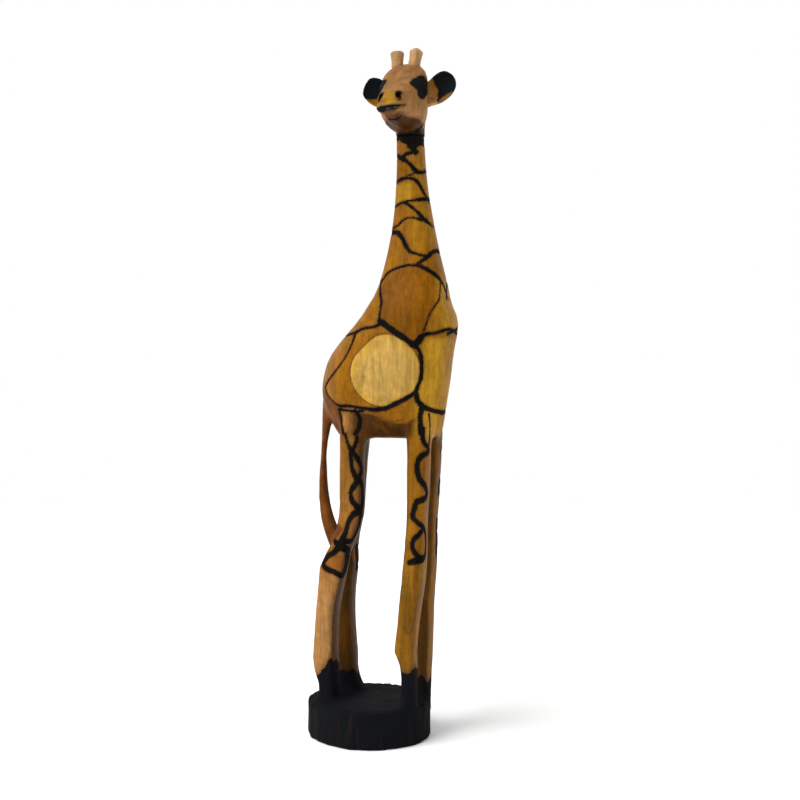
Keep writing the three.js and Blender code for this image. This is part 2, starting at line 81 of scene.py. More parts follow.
FACET_DEPTH = 0.22  # knife cuts on the body
ROUGH_FACET_DEPTH = 0.9  # adze cuts on the side of the base
BURN_DEPTH = 0.35  # how deep a burnt line is sunk
SCRATCH_DEPTH = 0.12
UNEVENNESS = 0.22  # how much a burnt stroke swells and thins on its way
BULK_KEPT = 0.52  # the share of each smoothing step that is swelled back

FLUSH_RADIUS = 55.2  # how far out the feet may reach where they meet the base
FOOT_FLARE = 7  # how far the left hind foot spreads at the base, and from how high up
FOOT_FLARE_HEIGHT = 24

# How far the blackening climbs each right foot above the base, how much lower it stays on the
# left one, and on the heel of the right hind foot.
HIND_CHAR_HEIGHT = 27
HIND_CHAR_DROP = 8
FRONT_CHAR_HEIGHT = 34
FRONT_CHAR_DROP = 15
HEEL_CHAR_DROP = 7

NO_MARK = 50.0  # a distance from the burning that leaves the wood clean

# Albedos of the wood, as linear red, green and blue.
AMBER = (0.23, 0.09, 0.003)
DEEP_AMBER = (0.165, 0.056, 0.0005)
GOLD = (0.44, 0.27, 0.066)
HONEY = (0.46, 0.245, 0.016)
# painted shade for the belly and for faces turned down
UNDERSIDE_SHADE = (0.04, 0.013, 0.001)
# painted shade on the left legs and between the legs
SHADE = (0.065, 0.026, 0.003)
RUSSET = (0.125, 0.038, 0.007)
TAN = (0.35, 0.18, 0.068)
FAWN = (0.25, 0.12, 0.037)
OLIVE = (0.19, 0.085, 0.006)
STRAW = (0.35, 0.17, 0.006)
BRICK = (0.2, 0.085, 0.03)
HORN = (0.41, 0.232, 0.102)
# painted shade on the leg faces turned to the gap between the front and hind legs
ARCH_SHADE = (0.1, 0.034, 0.004)
DARK_OLIVE = (0.1, 0.055, 0.004)
HOCK_RED = (0.21, 0.068, 0.004)
# painted shade under the jaw
JAW_SHADE = (0.045, 0.016, 0.007)
# a painted highlight in the slit of the mouth
LIP_HIGHLIGHT = (0.4, 0.3, 0.22)

# Colours that the wood's shader mixes in, with their alpha.
SOOT = (0.002, 0.002, 0.002, 1)
# the blue in this black is a painted sheen
BLUE_SHEEN_BLACK = (0.004, 0.007, 0.009, 1)  # the burning on the face and ears
WARM_SOOT = (0.008, 0.006, 0.004, 1)
WARM_FIGURE = (0.2, 0.06, 0.002, 1)
HALO_BROWN = (0.05, 0.016, 0.004, 1)
SCRATCH_BROWN = (0.09, 0.03, 0.008, 1)
SCORCH_BROWN = (0.05, 0.02, 0.008, 1)
# the blue of the char is a painted sheen
CHAR_BLUE_SHEEN = (0.004, 0.0045, 0.006, 1)
CHAR_BROWN = (0.012, 0.007, 0.005, 1)

# ---- Places on the statue --------------------------------------------------------------------


def millimetres(corner):
    return np.array(corner) / MM


log_top = millimetres(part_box("carved_log")[1])
dowel_low, dowel_high = (millimetres(corner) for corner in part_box("neck_dowel"))

NOMINAL_COLLAR = 527  # the heights listed below belong to a log this tall
NOMINAL_BASE = 32

collar_z = log_top[2]
neck_x = (dowel_low[0] + dowel_high[0]) / 2
height = collar_z / NOMINAL_COLLAR
base_z = NOMINAL_BASE * height

# The middle line of the trunk and neck, and of each leg: (height, how far along X).
SPINE = [(263, 18), (310, 15), (345, 24), (385, 38), (420, 42), (460, 41)]
SPINE += [(NOMINAL_COLLAR, neck_x)]
HIND_LEG = [(32, -31), (64, -33.7), (112, -31), (136, -27.3), (160, -22.5), (184, -13)]
HIND_LEG += [(196, -10.5), (232, -9), (275, -8)]
FRONT_LEG = [(32, 45), (76, 43), (100, 44.6), (124, 47.8), (148, 50.7), (172, 52.3), (275, 55)]
LEG_Y = 20  # how far each leg stands from the middle
BELLY = 263  # the height where the legs leave the trunk
BETWEEN_LEGS_X = 8  # the front legs stand ahead of this and the hind legs behind it


def along(line, z):
    heights = [point[0] * height for point in line]
    return np.interp(z, heights, [point[1] for point in line])


def turn_about_spine(points):
    """Degrees round the trunk or neck: 0 in front, 90 on the right flank, 180 behind."""
    ahead = points[:, 0] - along(SPINE, points[:, 2])
    return np.degrees(np.arctan2(-points[:, 1], ahead))


# ---- Noise and lines -------------------------------------------------------------------------


def rumble(points, size, seed, stretch=1.0):
    """Smooth noise, about -1 to 1, with swells of this size, drawn out along Z by stretch.

    Each seed reads a place of its own in the noise.
    """
    scaled = points / (size, size, size * stretch) + seed * 17.3
    return np.array([noise.noise(point) for point in scaled.tolist()])


def scoops(points, size, seed, voxel, stretch=1.0):
    """Side by side gouge cuts: 0 in the middle of each cut and up to 1 on the ridges between."""
    scaled = points / (size, size, size * stretch)
    count = max(int(len(points) * voxel**2 / (size**2 * stretch)), 2)
    picks = np.random.default_rng(seed).choice(len(points), count, replace=False)
    tree = KDTree(count)
    for index, pick in enumerate(picks):
        tree.insert(scaled[pick], index)
    tree.balance()
    reach = np.array([tree.find(point)[2] for point in scaled.tolist()])
    return np.minimum(reach, 1.0) ** 2


def smooth_path(points, spacing):
    """A Catmull-Rom curve through the points, as points about this far apart."""
    points = np.array(points, float)
    ends = np.vstack([2 * points[0] - points[1], points, 2 * points[-1] - points[-2]])
    path = []
    for a, b, c, d in zip(ends[:-3], ends[1:-2], ends[2:-1], ends[3:]):
        steps = max(int(np.linalg.norm(c - b) / spacing), 2)
        t = np.linspace(0, 1, steps, endpoint=False)[:, None]
        curve = 2 * b + (c - a) * t + (2 * a - 5 * b + 4 * c - d) * t**2
        path.append((curve + (3 * b - a - 3 * c + d) * t**3) / 2)
    return np.vstack([*path, points[-1:]])


class Strokes:
    """Burnt strokes lying on a surface. Each is a row of dots with a radius of their own."""

    def __init__(self):
        self.dots = []
        self.radii = []

    def draw(self, path, radii, seed):
        wander = rumble(path, 6, seed)
        for dot, radius, swing in zip(path, radii, wander):
            self.dots.append(dot)
            self.radii.append(radius * (1 + UNEVENNESS * swing))

    def edge(self, points):
        """How far each point is outside the nearest stroke, negative inside it."""
        tree = KDTree(len(self.dots))
        for index, dot in enumerate(self.dots):
            tree.insert(dot, index)
        tree.balance()
        found = [tree.find(point) for point in points.tolist()]
        return np.array([reach - self.radii[index] for _, index, reach in found])


def inside(outline, across, up):
    """Which of the points (across, up) lie inside the closed outline."""
    within = np.zeros(len(across), bool)
    for (x0, y0), (x1, y1) in zip(outline, outline[1:] + outline[:1]):
        crosses = (y0 > up) != (y1 > up)
        level = np.where(y1 == y0, 1.0, y1 - y0)
        within ^= crosses & (across < (x1 - x0) * (up - y0) / level + x0)
    return within


def fade(values, start, end):
    """0 at start, 1 at end, with an eased slope between."""
    t = np.clip((values - start) / (end - start), 0, 1)
    return t * t * (3 - 2 * t)


# ---- Carvings --------------------------------------------------------------------------------


class Carving:
    """An evenly meshed copy of a CAD node that can be softened, cut and stained."""

    def __init__(self, node, name, voxel):
        self.node = node
        self.voxel = voxel
        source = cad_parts[node]
        piece = bpy.data.objects.new(name, source.data.copy())
        scene.collection.objects.link(piece)
        weld = piece.modifiers.new("weld", "WELD")
        weld.merge_threshold = 0.001 * MM
        remesh = piece.modifiers.new("remesh", "REMESH")
        remesh.mode = "VOXEL"
        remesh.voxel_size = voxel * MM
        ready = piece.evaluated_get(bpy.context.evaluated_depsgraph_get())
        mesh = bpy.data.meshes.new_from_object(ready)
        piece.modifiers.clear()
        piece.data = mesh
        self.piece = piece
        self.mesh = mesh
        flat = np.empty(len(mesh.vertices) * 3, np.float32)
        mesh.vertices.foreach_get("co", flat)
        self.points = flat.reshape(-1, 3).astype(float) / MM
        pairs = np.empty(len(mesh.edges) * 2, np.int32)
        mesh.edges.foreach_get("vertices", pairs)
        self.edges = pairs.reshape(-1, 2)

    def write(self):
        self.mesh.vertices.foreach_set("co", (self.points * MM).astype(np.float32).ravel())
        self.mesh.update()

    def normals(self):
        self.write()
        flat = np.empty(len(self.points) * 3, np.float32)
        self.mesh.vertex_normals.foreach_get("vector", flat)
        return flat.reshape(-1, 3)

    def relax(self, weight, steps, swell=0.0):
        """Moves each vertex towards its neighbours. swell near 0.5 keeps the bulk as it was."""
        a, b = self.edges.T
        size = len(self.points)
        neighbours = np.bincount(np.concatenate([a, b]), minlength=size)[:, None]
        strengths = [0.5, -swell] if swell else [0.5]
        for strength in strengths * steps:
            total = np.empty_like(self.points)
            for axis in range(3):
                column = self.points[:, axis]
                total[:, axis] = np.bincount(a, column[b], size) + np.bincount(b, column[a], size)
            self.points += strength * weight[:, None] * (total / neighbours - self.points)

    def push(self, distance):
        self.points += self.normals() * distance[:, None]

    def surface(self):
        self.write()
        corners = [Vector(point) for point in self.points.tolist()]
        polygons = [tuple(polygon.vertices) for polygon in self.mesh.polygons]
        return BVHTree.FromPolygons(corners, polygons)

    def mark(self, burn_edge=NO_MARK, fine_edge=NO_MARK, char_edge=NO_MARK):
        """Stores how far each vertex is outside the burnt lines, the fine ones and the char."""
        edges = {"burn_edge": burn_edge, "fine_edge": fine_edge, "char_edge": char_edge}
        for name, distance in edges.items():
            layer = self.mesh.attributes.new(name, "FLOAT", "POINT")
            values = np.broadcast_to(distance, len(self.points)).astype(np.float32)
            layer.data.foreach_set("value", values)

    def stain_and_painted_light(self, colours):
        layer = self.mesh.attributes.new("stain_and_painted_light", "FLOAT_COLOR", "POINT")
        full = np.ones((len(colours), 4), np.float32)
        full[:, :3] = colours
        layer.data.foreach_set("color", full.ravel())

    def finish(self, material, slot):
        self.write()
        self.mesh.polygons.foreach_set("use_smooth", [True] * len(self.mesh.polygons))
        self.mesh.materials.clear()
        self.mesh.materials.append(material)
        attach(self.piece, "root")
        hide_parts(self.node)


class Palette:
    """The stain of every vertex, with painted shade and highlights, painted zone by zone."""

    def __init__(self, count, colour):
        self.colours = np.tile(np.array(colour, float), (count, 1))

    def paint(self, amount, colour):
        share = np.asarray(amount, float)[:, None]
        self.colours += share * (np.array(colour) - self.colours)


# ---- The burnt pattern -----------------------------------------------------------------------
# A line is a row of (turn, height, half width), with the turn as turn_about_spine gives it or, on
# a leg, taken the same way about the middle of the leg. The lines of the right side are listed, and
# the left side repeats them.

SADDLE_TOP = [(134, 401, 1.2), (125, 406, 1.2), (103, 410, 1), (77, 412, 0.8), (54, 411, 1.2)]
SADDLE_TOP += [(37, 407, 1.9), (18, 401, 1.8), (6, 394, 1.2), (-2, 384, 0.8)]
SADDLE_BACK = [(134, 401, 1.2), (136, 396, 1.1), (126, 388, 1.2), (115, 380, 0.8)]
SADDLE_BACK += [(108, 370, 0.8), (104, 365, 1.6)]
SADDLE_LOW = [(104, 365, 1.9), (92, 361, 2.3), (74, 355, 2.5), (58, 349, 2.4), (44, 342, 2.1)]
SADDLE_FRONT = [(17, 397, 0.7), (24, 383, 0.5), (31, 377, 0.5), (37, 369, 0.4), (40, 354, 0.7)]
RUMP_LOW = [(151, 308, 0.9), (148, 301, 0.6), (141, 294, 0.7), (136, 291, 1.2)]

TRUNK_LINES = [
    SADDLE_TOP,
    SADDLE_BACK,
    SADDLE_LOW,
    SADDLE_FRONT,
    RUMP_LOW,
    # chest
    [(44, 342, 2.4), (41, 348, 2.4), (38, 352, 1.7), (29, 353, 1.1), (11, 357, 1.3), (-10, 354, 1.2)],
    # rump
    [(99, 362, 1.4), (109, 359, 1), (124, 358, 1.2), (134, 355, 1.4), (158, 352, 1.1), (181, 348, 1)],
    [(133, 354, 1.4), (130, 345, 0.9), (131, 335, 0.7), (138, 323, 0.7), (151, 308, 0.9)],
    # belly
    [(136, 291, 1.4), (124, 291, 1.1), (103, 289, 1.2), (86, 288, 1.7), (68, 289, 1.8)],
    [(68, 289, 1.8), (56, 293, 1.9), (44, 298, 1.5), (36, 303, 1.5)],
    [(136, 288, 1), (121, 286.5, 1), (104, 287, 1)],
    # round the light patch and down to the elbow
    [(44, 342, 1.9), (40, 339, 1.5), (36, 331, 1.6), (34, 324, 1.4), (33, 314, 1.4), (36, 303, 1.7)],
    [(36, 303, 1.8), (34, 296, 2.1), (28, 290, 2.1), (16, 287, 1.8), (-2, 285, 1.6)],
    [(30, 290, 2.1), (33, 282, 2.1), (35, 268, 2)],
    # thigh
    [(117, 287, 2), (114, 281, 2), (117.5, 273, 1.9), (121, 267, 1.8)],
    [(138, 288, 1.3), (139, 284, 1.1), (138, 275, 1.1), (134, 267, 1.1)],
    # over the back
    [(134, 401, 1.2), (158, 398, 1.1), (181, 395, 1)],
    # the neck, from the collar down
    [(72, 517, 2.4), (59, 516, 2.8), (52, 511, 2.2)],
    [(181, 510, 1.8), (158, 508, 1.6), (135, 509, 1.6), (106, 507, 2), (87, 510, 1.4), (43, 512, 1.4)],
    [(106, 506, 1.8), (83, 503, 1.2), (66, 499, 1.4), (55, 495, 2), (34, 494, 1.4), (-6, 496, 0.9)],
    [(181, 482, 0.8), (139, 486, 1), (116, 488, 1.3), (88, 489, 1.1), (63, 488, 1.1)],
    [(63, 488, 1.1), (51, 486, 1.4), (39, 482, 1.4), (25, 476, 1.3), (-3, 469, 1)],
    [(93, 490, 0.6), (67, 492, 0.6), (51, 494, 0.8)],
    [(181, 461, 0.8), (138, 465, 0.8), (97, 468, 1), (73, 469, 0.7), (38, 470, 1.4), (-4, 472, 1.3)],
    [(105, 468, 0.8), (84, 466, 1.2), (58, 460, 1), (46, 456, 1.5), (35, 452, 1.7), (3, 447, 0.6)],
    [(138, 446, 0.8), (116, 448, 0.9), (99, 452, 0.7), (77, 454, 0.6), (44, 452, 1.1), (28, 452, 1.4)],
    [(181, 441, 1.6), (136, 442, 2.1), (114, 441, 2), (99, 436, 1.6), (89, 430, 1.6), (77, 424, 1.3)],
    [(77, 424, 1.3), (63, 422, 0.8), (47, 420, 1.2), (38, 420, 1.6), (23, 424, 1.6), (-4, 427, 1.3)],
    [(40, 419, 1.6), (49, 416, 1.6), (58, 413, 1.2)],
]

HIND_LINES = [
    [(45, 264, 1.7), (47, 260, 1.6), (56, 255, 1.6), (68, 252, 1.9)],
    [(97, 267, 1), (88, 261, 1), (70, 253, 1.6)],
    # two strands, plaited
    [(70, 253, 2), (53, 249, 2.2), (22, 241, 2.5), (10, 235, 2.4), (30, 229, 2.5), (54, 221, 2.1)],
    [(54, 221, 2.1), (64, 215, 1.8), (52, 207, 2.2), (16, 199, 2.8), (6, 190, 2.8), (5, 180, 2.8)],
    [(5, 180, 2.8), (18, 173, 2.6), (44, 173, 2.4), (67, 170, 2.6)],
    [(70, 253, 1.7), (66, 243, 1.6), (56, 234, 2), (38, 228, 2.6), (10, 222, 2.7), (5, 212, 2.8)],
    [(5, 212, 2.8), (8, 203, 2.8), (18, 199, 2.8), (50, 197, 2.3), (66, 188, 2.1), (66, 179, 2.2)],
    [(66, 179, 2.2), (70, 173, 2.6), (75, 168, 2.8)],
    # the tuft of the tail, and round the hock
    [(112, 173, 1.6), (83, 171, 2.8), (60, 172, 2.8)],
    [(75, 168, 2.8), (86, 163, 2.4), (112, 160, 2.4), (128, 154, 2.2), (110, 149, 2.3), (65, 146, 2.1)],
    [(65, 146, 2), (18, 142, 2.4), (6, 148, 2.9), (4, 156, 3.2), (14, 164, 3.3), (34, 166, 3.2)],
    [(34, 166, 3.2), (65, 168, 3.1)],
    [(14, 164, 3.2), (-6, 160, 3), (-10, 152, 3), (-4, 145, 2.6)],
]
FRONT_LINES = [
    [(52, 272, 2.3), (47, 261, 2.2), (8, 253, 2.5), (54, 249, 2.2), (71, 243, 2.2), (73, 236, 2.1)],
    [(73, 236, 2.1), (57, 228, 2.2), (26, 222, 2.2), (8, 215, 2.3), (40, 212, 2.3), (70, 210, 2.3)],
    [(70, 210, 2.3), (83, 203, 2.3), (88, 197, 2.3), (64, 192, 1.8), (31, 188, 2), (4, 182, 1.8)],
    [(4, 182, 1.8), (0, 173, 1.8), (8, 164, 2.3), (36, 161, 2.8), (77, 159, 2.3), (97, 158, 1.9)],
    [(30, 187, 1.7), (63, 181, 1.9), (83, 177, 1.9), (85, 171, 1.9), (66, 165, 2.2), (44, 161, 2.6)],
    [(6, 284, 0.9), (2, 270, 0.8), (8, 258, 1.2), (26, 252, 1.5)],
]

# Thin brown lines, scratched rather than burnt.
FINE_TRUNK_LINES = [[(105, 287, 0.4), (87, 285, 0.5), (72, 280, 0.6), (55, 278, 0.6), (37, 283, 0.5)]]
FINE_FRONT_LINES = [
    [(92, 152, 0.4), (94, 122, 0.5), (86, 103, 0.7), (64, 97, 0.8), (46, 101, 0.7), (36, 122, 0.5)],
]

# How far outside its middle line the search for the surface starts, on the trunk and on a leg.
TRUNK_REACH = 150
LEG_REACH = 19
PLAIT_TURN = 26  # the plaits on the left legs keep to the outside, past this turn

# The light round patch on each flank: its middle (along X, height), its radius, and the dent
# where its outline flattens.
CIRCLE_X = 28.5
CIRCLE_HEIGHT = 321.5
CIRCLE_RADIUS = 31.5
CIRCLE_DENT = 3.2
CIRCLE_DENT_ANGLE = 132
CIRCLE_DENT_SPREAD = 24


def circle_radius(angle):
    """The radius of the light patch in the direction of this many degrees."""
    away = (angle - CIRCLE_DENT_ANGLE + 180) % 360 - 180
    return CIRCLE_RADIUS - CIRCLE_DENT * np.exp(-((away / CIRCLE_DENT_SPREAD) ** 2))


def strokes_on_log(surface):
    """(burnt, fine): every line of the pattern, dropped on to the surface of the log."""
    burnt = Strokes()
    fine = Strokes()
    hand = np.random.default_rng(7)
    degree = 0.4  # a degree's worth in millimetres, so that dots on a path are evenly spaced

    def trace(strokes, lines, middle, middle_y, side, reach):
        """Draws lines found by going in towards a middle line from this far outside it."""
        for seed, line in enumerate(lines):
            control = np.array(line, float)
            if side < 0:
                control[:, :2] += hand.normal(0, (2.5, 1.1), (len(line), 2))
                if reach == LEG_REACH:
                    control[:, 0] = np.maximum(control[:, 0], PLAIT_TURN)
            control[:, 0] *= degree
            path, radii = [], []
            for turn, z, radius in smooth_path(control, 0.6):
                angle = math.radians(turn / degree)
                outward = Vector((math.cos(angle), -math.sin(angle) * side, 0))
                start = Vector((along(middle, z * height), middle_y, z * height)) + outward * reach
                hit = surface.ray_cast(start, -outward, reach)[0]
                if hit:
                    path.append(np.array(hit))
                    radii.append(radius)
            if path:
                strokes.draw(np.array(path), radii, seed)

    for side in (1, -1):
        trace(burnt, TRUNK_LINES, SPINE, 0, side, TRUNK_REACH)
        trace(fine, FINE_TRUNK_LINES, SPINE, 0, side, TRUNK_REACH)
        leg_y = -LEG_Y * side
        trace(burnt, HIND_LINES, HIND_LEG, leg_y, side, LEG_REACH)
        trace(burnt, FRONT_LINES, FRONT_LEG, leg_y, side, LEG_REACH)
        trace(fine, FINE_FRONT_LINES, FRONT_LEG, leg_y, side, LEG_REACH)
        ring = []
        for angle in np.arange(0, 360, 1.2):
            radius = circle_radius(angle)
            x = CIRCLE_X + radius * math.cos(math.radians(angle))
            z = CIRCLE_HEIGHT * height + radius * math.sin(math.radians(angle))
            start = Vector((x, -TRUNK_REACH * side, z))
            hit = surface.ray_cast(start, Vector((0, side, 0)))[0]
            if hit:
                ring.append(np.array(hit))
        fine.draw(np.array(ring), [0.8] * len(ring), side + 5)
    return burnt, fine


# ---- The log ---------------------------------------------------------------------------------


def shape_log(log):
    x, y, z = log.points.T
    belly_z = BELLY * height
    out = np.hypot(x, y)
    disc = 1 - fade(z, base_z - 1, base_z + 1.5)
    rim = disc * fade(out, 40, 50)
    # Facets of the CAD surface go first, with the bulk kept.
    log.relax(1 - 0.85 * rim, 24, swell=BULK_KEPT)
    # Then the joins: legs to belly, tail to rump and hock, feet to base.
    hips = fade(z, belly_z - 34, belly_z - 4) * (1 - fade(z, belly_z + 26, belly_z + 46))
    feet = fade(z, base_z - 3, base_z) * (1 - fade(z, base_z + 5, base_z + 16)) * (1 - rim)
    log.relax(hips, 40)
    log.relax(feet, 14)
    # The left hind foot spreads forwards as it meets the base.
    lowness = 1 - np.clip((z - base_z) / FOOT_FLARE_HEIGHT, 0, 1)
    toe = fade(x, -32, -22) * (1 - fade(x, -16, 4)) * fade(y, 2, 10) * fade(z, base_z - 4, base_z)
    log.points[:, 0] += FOOT_FLARE * lowness**2 * toe
    # The front feet stand out to the rim, and are cut flush with it.
    past = np.maximum(np.hypot(log.points[:, 0], log.points[:, 1]) / FLUSH_RADIUS, 1) - 1
    flush = past * (1 - fade(z, base_z + 3, base_z + 20))
    log.points[:, :2] /= 1 + flush[:, None]


def carve_log(log, burn_edge, fine_edge):
    points = log.points
    x, y, z = points.T
    on_base = 1 - fade(z, base_z - 2, base_z + 1)
    side = on_base * fade(np.hypot(x, y), 49, 53)
    top = on_base * fade(z, base_z - 4, base_z - 1) * (1 - side)
    flank = (1 - on_base) * (1 - fade(z, collar_z - 3, collar_z))
    adze = scoops(points, 9, 3, log.voxel, stretch=3.2)
    knife = scoops(points, 8, 4, log.voxel, stretch=3.6)
    swell = rumble(points, 38, 1) * 0.35 + rumble(points, 13, 2, stretch=2) * 0.12
    legs = 1 - fade(z, 235 * height, 275 * height)
    distance = flank * swell
    distance += flank * (0.35 + 1.5 * legs) * FACET_DEPTH * (knife - 0.4)
    distance += side * (ROUGH_FACET_DEPTH * (adze - 0.6) + 0.4 * rumble(points, 24, 9))
    distance += top * 0.5 * (knife - 0.4)
    distance -= rim_nicks(points)
    distance -= flank * BURN_DEPTH * (1 - fade(burn_edge, -1.0, 0.4))
    distance -= flank * SCRATCH_DEPTH * (1 - fade(fine_edge, -0.4, 0.6))
    log.push(distance)
    log.points[:, 2] = np.maximum(log.points[:, 2], 0)  # nothing sinks into the floor


def rim_nicks(points):
    """How deep the short chisel cuts across the upper rim of the base are at each point."""
    x, y, z = points.T
    angle = np.degrees(np.arctan2(y, x))
    near_rim = fade(np.hypot(x, y), 46, 53) * fade(z, base_z - 7, base_z - 2)
    near_rim *= 1 - fade(z, base_z + 1, base_z + 3)
    depth = np.zeros(len(points))
    picks = np.random.default_rng(12)
    # Each row of cuts: from and to which angle round the base, and how many.
    for start, end, count in ((150, 250, 22), (-40, 60, 10), (70, 140, 8)):
        for centre in np.linspace(start, end, count) + picks.normal(0, 1.2, count):
            away = np.abs((angle - centre + 180) % 360 - 180)
            width = picks.uniform(0.9, 1.7)
            depth += picks.uniform(0.4, 1.3) * np.exp(-((away / width) ** 2))
    return depth * near_rim


def log_stain_and_shade(points, normals):
    """The colour of the log's wood under the burning, with painted shade under and between the legs."""
    x, y, z = points.T
    turn = np.abs(turn_about_spine(points))
    level = z / height
    palette = Palette(len(points), AMBER)
    blotch = 0.5 + 0.5 * rumble(points, 30, 21, stretch=1.6)
    patchy = 0.5 + 0.5 * rumble(points, 11, 22, stretch=2.2)
    body = fade(level, 256, 270)

    # The neck, with a paler cell half way up and a red tint under the collar.
    neck = fade(level, 405, 440)
    palette.paint(neck * (0.2 + 0.4 * blotch), DEEP_AMBER)
    palette.paint(neck * 0.3 * (1 - fade(turn, 40, 120)), HONEY)
    pale = fade(level, 466, 470) * (1 - fade(level, 482, 486)) * fade(turn, 60, 85)
    palette.paint(pale * 0.6, HONEY)
    palette.paint(fade(level, 500, 508) * 0.6 * patchy, BRICK)

    saddle_edge = SADDLE_TOP + SADDLE_FRONT + SADDLE_LOW[::-1] + SADDLE_BACK[::-1]
    saddle = inside([point[:2] for point in saddle_edge], turn, level) & (level > 300)
    palette.paint(saddle * (0.6 + 0.4 * blotch), DEEP_AMBER)

    # The chest, darker in front of its ridge, and the shoulder over it.
    chest = body * (1 - fade(turn, 28, 44)) * (1 - fade(level, 346, 352))
    palette.paint(chest * 0.8, HONEY)
    ridge = np.interp(level, [290, 309, 323, 336, 350], [10, 7, 9, 14, 20])
    breast = chest * (1 - fade(turn - ridge, -1.5, 1.5))
    palette.paint(breast * 0.35, DEEP_AMBER)
    shoulder = body * (1 - fade(turn, 15, 40)) * fade(level, 350, 362) * (1 - fade(level, 392, 408))
    palette.paint(shoulder * 0.6, HONEY)

    rump = body * fade(turn, 128, 150) * (1 - fade(level, 372, 392))
    palette.paint(rump * 0.6, FAWN)
    haunch = body * (1 - fade(level, 283, 296)) * fade(turn, 84, 110)
    palette.paint(haunch * 0.35, TAN)

    # Painted shade darkens the belly below a shallow arc and everything between the legs.
    arc = np.interp(x, [8, 18, 27, 36, 47, 54], [287, 285, 280, 278, 278, 283])
    under = (1 - fade(level - arc, -3, 0)) * fade(x, -10, 0) * (1 - fade(x, 50, 58))
    palette.paint(under * body * fade(level, 258, 266) * 0.88, UNDERSIDE_SHADE)
    inner = -normals[:, 1] * np.sign(y)
    front = x > BETWEEN_LEGS_X
    arch = normals[:, 0] * np.where(front, -1, 1)  # towards the gap between front and hind legs
    low = 1 - fade(level, 262, 280)
    inward = fade(np.maximum(inner, 0.5 * inner + 0.8 * arch), 0.2, 0.7) * low
    # painted shade over the whole of the left legs
    palette.paint((y > 0) * low * 0.65, SHADE)
    # painted shade on the faces turned to the gap between the front and hind legs
    palette.paint(fade(arch, 0.15, 0.6) * low * 0.75, ARCH_SHADE)
    # painted shade on the inner faces of the legs and on those turned to the gap
    palette.paint(inward * 0.94, SHADE)
    # painted shade on the faces turned down, under the trunk and the upper legs
    palette.paint(fade(-normals[:, 2], 0.3, 0.8) * fade(level, 200, 250) * 0.9, UNDERSIDE_SHADE)

    # The light patch on each flank, darker towards its edge, with a small knot.
    angle = np.degrees(np.arctan2(level - CIRCLE_HEIGHT, x - CIRCLE_X))
    past_ring = np.hypot(x - CIRCLE_X, level - CIRCLE_HEIGHT) - circle_radius(angle)
    circle = (1 - fade(past_ring, -0.8, 0.4)) * (np.abs(y) > 12)
    palette.paint(circle, GOLD)
    palette.paint(circle * fade(past_ring, -14, 0) * (0.25 + 0.5 * patchy), HONEY)
    knot = np.hypot((x - 11) * 0.45, level - 316)
    palette.paint(circle * (1 - fade(knot, 0.5, 1.6)) * 0.7, FAWN)

    # The legs grow paler downwards. The front ones have a dark streak, the hind ones red hocks.
    legs = (1 - fade(level, 238, 264)) * (1 - inward)
    shin = 1 - fade(level, 120, 200)
    palette.paint(legs * ~front * (0.25 + 0.5 * shin), TAN)
    palette.paint(legs * front * (0.25 + 0.45 * shin), OLIVE)
    streak = 1 - fade(np.abs(x - 46), 3, 6)
    streak *= fade(level, 96, 104) * (1 - fade(level, 140, 156)) * legs * front
    palette.paint(streak * 0.6, DARK_OLIVE)
    palette.paint(legs * fade(patchy, 0.45, 0.8) * 0.35, DEEP_AMBER)
    hock = np.hypot(np.hypot(x + 24, (level - 156) * 0.9), (np.abs(y) - 29) * 0.6)
    palette.paint((1 - fade(hock, 9, 12)) * 0.8, HOCK_RED)

    # The tail is behind the first edge at its root, and behind the second one down to its tuft.
    levels = [265, 275, 286, 291, 294, 301, 308]
    root_edge = np.interp(level, levels, [130, 136, 139, 136, 141, 148, 153])
    root = body * fade(turn - root_edge, -1, 2) * (1 - fade(level, 304, 312))
    levels = [158, 163, 167, 172, 178, 183.5, 187, 191, 196, 235, 260]
    edge = np.interp(level, levels, [-34, -30, -26, -22, -16, -11.5, -15, -21, -28, -31, -35])
    tail = (1 - fade(x - edge, -1, 1)) * fade(level, 158, 163) * (1 - fade(level, 296, 312))
    tail *= np.where(level < 205, 1 - fade(y, -6, 0), 1)  # it ends on the right hock
    palette.paint(np.maximum(tail, root) * (0.8 + 0.2 * patchy), RUSSET)
    return palette.colours


def collar_edge(points):
    """How far each point is below the blackened collar at the top of the neck."""
    turn = np.abs(turn_about_spine(points))
    low = np.interp(turn, [0, 40, 62, 85, 120, 150, 180], [519, 517, 512, 518, 523, 520, 518])
    return low * height + 1.5 * rumble(points, 5, 33) - points[:, 2]


def char_edge(points):
    """How far each point is above the ragged edge of the blackened base and feet."""
    x, y, z = points.T
    front = x > BETWEEN_LEGS_X
    right_climb = np.where(front, FRONT_CHAR_HEIGHT, HIND_CHAR_HEIGHT)
    climb = right_climb - np.where(front, FRONT_CHAR_DROP, HIND_CHAR_DROP) * fade(y, 0, 10)
    climb -= HEEL_CHAR_DROP * (1 - fade(x, -39, -32)) * (y < 0)
    tongues = 7 * rumble(points * (1, 1, 0.12), 7, 31) + 2 * rumble(points, 4, 32)
    spike = 9 * np.exp(-(((x + 26) / 3) ** 2)) * (y < 0)
    return z - base_z - climb - tongues - spike


def make_log():
    log = Carving("carved_log", "giraffe_log", LOG_VOXEL)
    shape_log(log)
    burnt, fine = strokes_on_log(log.surface())
    burn_edge = np.minimum(burnt.edge(log.points), collar_edge(log.points))
    fine_edge = fine.edge(log.points)
    stain_and_painted_light = log_stain_and_shade(log.points, log.normals())
    carve_log(log, burn_edge, fine_edge)
    log.mark(burn_edge, fine_edge, char_edge(log.points))
    log.stain_and_painted_light(stain_and_painted_light)
    log.finish(carved_wood("log_wood", 1.0, 0.4), "varnished_wood")


# ---- The head --------------------------------------------------------------------------------
# Points on the face are (out along the muzzle, to the head's left, up from the collar).


